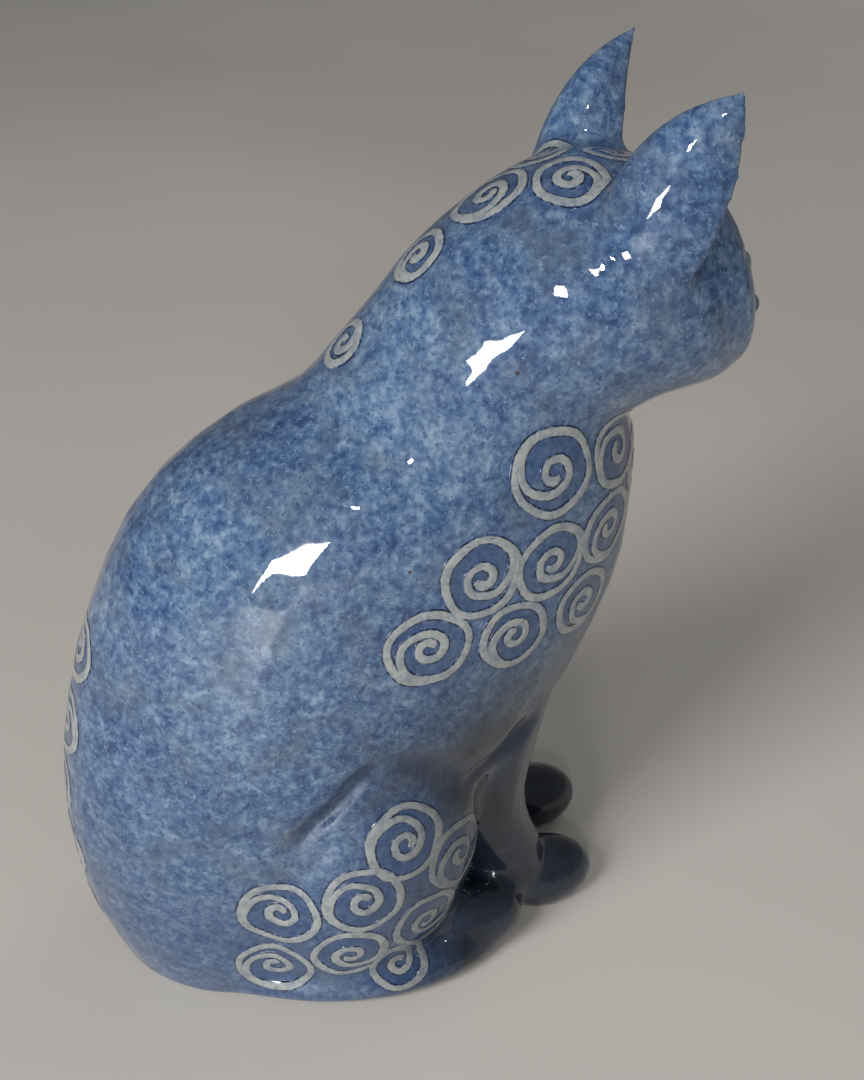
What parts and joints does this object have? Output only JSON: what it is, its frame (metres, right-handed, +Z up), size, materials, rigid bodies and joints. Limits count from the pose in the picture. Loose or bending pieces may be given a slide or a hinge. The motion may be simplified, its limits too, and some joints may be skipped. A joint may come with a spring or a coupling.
{
  "type": "ceramic cat figurine",
  "caption": "Seated hollow ceramic cat in mottled blue gloss glaze with raised white spirals, free-standing on a flat unglazed base.",
  "frame": {"origin": "on the underside of the base slab, on the cat's middle plane, midway along the torso's footprint", "axes": "+Z up; the cat faces -Y; +X is the cat's left"},
  "size_m": [0.0843, 0.1681, 0.2164],
  "materials": {
    "blue_glaze": "mottled mid-blue speckle under a clear gloss glaze on stoneware",
    "bare_clay": "unglazed buff stoneware, dry and slightly rough"
  },
  "bodies": {
    "root": {"torso_shell": "blue_glaze", "head_shell": "blue_glaze", "left_ear": "blue_glaze", "right_ear": "blue_glaze", "muzzle": "blue_glaze", "nose": "blue_glaze", "left_eye": "blue_glaze", "right_eye": "blue_glaze", "left_foreleg": "blue_glaze", "right_foreleg": "blue_glaze", "left_haunch": "blue_glaze", "right_haunch": "blue_glaze", "left_hind_paw": "blue_glaze", "right_hind_paw": "blue_glaze", "tail": "blue_glaze", "base_slab": "bare_clay"}
  },
  "joints": []
}
